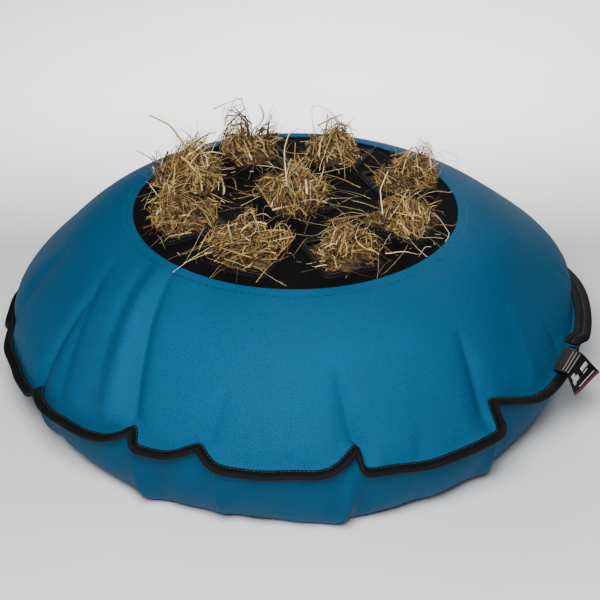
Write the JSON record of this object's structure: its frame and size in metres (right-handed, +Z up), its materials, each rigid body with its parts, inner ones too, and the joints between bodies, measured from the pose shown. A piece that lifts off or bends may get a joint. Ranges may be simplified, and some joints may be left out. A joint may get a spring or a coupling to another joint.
{
  "type": "hay feeder bag",
  "caption": "Round stuffed fabric hay bag for feeding horses from the ground, with a black feed panel of square holes on top, a bound rim and a filling mouth with a lifting flap.",
  "frame": {"origin": "centre of the flat underside, on the ground below the middle feed hole", "axes": "+Z up; -Y towards the viewer's side; +X towards the side with the filling mouth and the label"},
  "size_m": [0.7282, 0.7179, 0.327],
  "materials": {
    "teal_cover": "coated woven polyester, matte with a soft sheen",
    "panel_cloth": "black woven polyester, matte",
    "binding_tape": "black ribbed binding tape, matte",
    "loop_pile": "black loop pile, matte",
    "hook_tape": "black nylon hook tape, satin",
    "thread": "sewing thread",
    "label_cloth": "black woven label, smooth",
    "hay": "dry cut hay, matte"
  },
  "bodies": {
    "root": {"bottom_cover": "teal_cover", "top_cover": "teal_cover", "feed_panel": "panel_cloth", "rim_binding": "binding_tape", "lower_lip_binding": "binding_tape", "hook_strip": "hook_tape", "mouth_tack_front": "thread", "mouth_tack_rear": "thread", "hay_fill": "hay", "hole_binding_1": "binding_tape", "hole_binding_2": "binding_tape", "hole_binding_3": "binding_tape", "hole_binding_4": "binding_tape", "hole_binding_5": "binding_tape", "hole_binding_6": "binding_tape", "hole_binding_7": "binding_tape", "hole_binding_8": "binding_tape", "hole_binding_9": "binding_tape", "hay_tuft_1": "hay", "hay_tuft_2": "hay", "hay_tuft_3": "hay", "hay_tuft_4": "hay", "hay_tuft_5": "hay", "hay_tuft_6": "hay", "hay_tuft_7": "hay", "hay_tuft_8": "hay", "hay_tuft_9": "hay"},
    "flap": {"mouth_flap": "teal_cover", "upper_lip_binding": "binding_tape", "loop_strip": "loop_pile"},
    "label": {"side_label": "label_cloth"}
  },
  "joints": [
    {"name": "flap_lift", "type": "hinge", "parent": "root", "child": "flap", "pos_m": [0.27535, 0.07895, 0.1882], "axis": [0.2756, -0.9613, 0], "range_deg": [0, 50]},
    {"name": "label_lift", "type": "hinge", "parent": "root", "child": "label", "pos_m": [0.317, -0.14114, 0.1188], "axis": [-0.4067, -0.9135, 0], "range_deg": [0, 110]}
  ]
}
